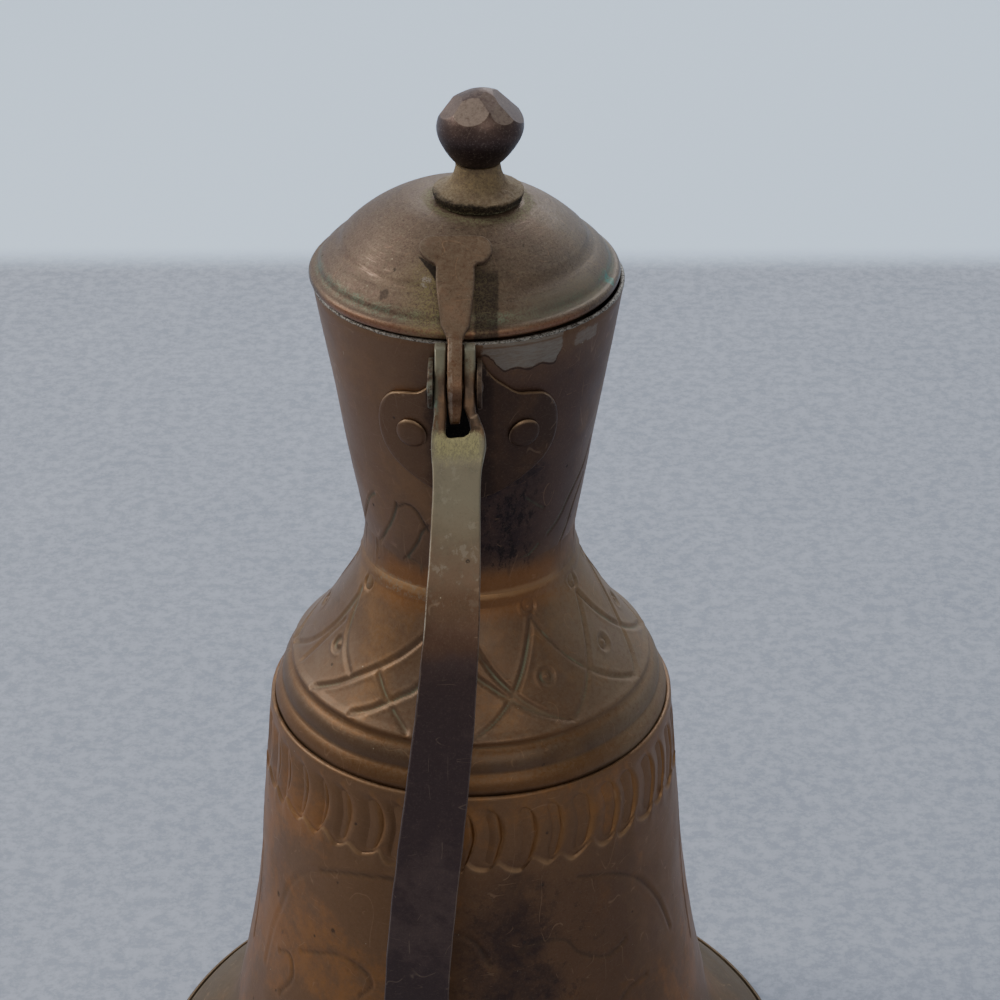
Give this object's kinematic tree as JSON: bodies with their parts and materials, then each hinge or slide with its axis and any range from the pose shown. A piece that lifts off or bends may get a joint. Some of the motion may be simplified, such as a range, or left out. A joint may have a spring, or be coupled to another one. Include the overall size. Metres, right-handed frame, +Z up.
{
  "type": "lidded copper jug",
  "caption": "Lidded sheet-copper jug: bell body with flared foot, funnel neck, forked strap handle that carries the hinge of a domed lid with a turned and faceted knob",
  "frame": {"origin": "Middle of the flat base, on the surface the jug stands on", "axes": "+Z up along the jug's axis. The handle and the lid's hinge are on the -Y side. +X to the right when the handle faces the viewer"},
  "size_m": [0.1792, 0.1811, 0.3029],
  "materials": {
    "body_copper": "aged hand-hammered copper, brown patina with orange glow and dark pits",
    "lid_copper": "turned copper, brown patina, dusty, with verdigris in the grooves",
    "dark_copper": "dark chocolate copper patina",
    "handle_metal": "grey-green tinned copper strap, worn, darkening to purple-brown",
    "knob_brass": "dull olive brass with dust"
  },
  "bodies": {
    "jug": {"neck_and_shoulder": "body_copper", "body_shell": "body_copper", "base_pan": "body_copper", "hinge_bracket": "dark_copper", "handle_strap": "handle_metal", "hinge_pin": "handle_metal", "bracket_rivet_left": "dark_copper", "bracket_rivet_right": "dark_copper", "handle_rivet_upper": "dark_copper", "handle_rivet_lower": "dark_copper"},
    "lid": {"lid_dome": "lid_copper", "lid_collar": "lid_copper", "lid_strap": "lid_copper", "finial_base": "knob_brass", "finial_knob": "dark_copper", "finial_washer": "knob_brass"}
  },
  "joints": [
    {"name": "lid_hinge", "type": "hinge", "parent": "jug", "child": "lid", "pos_m": [-0.00275, -0.0465, 0.247], "axis": [1, 0, 0], "range_deg": [0, 100]}
  ]
}
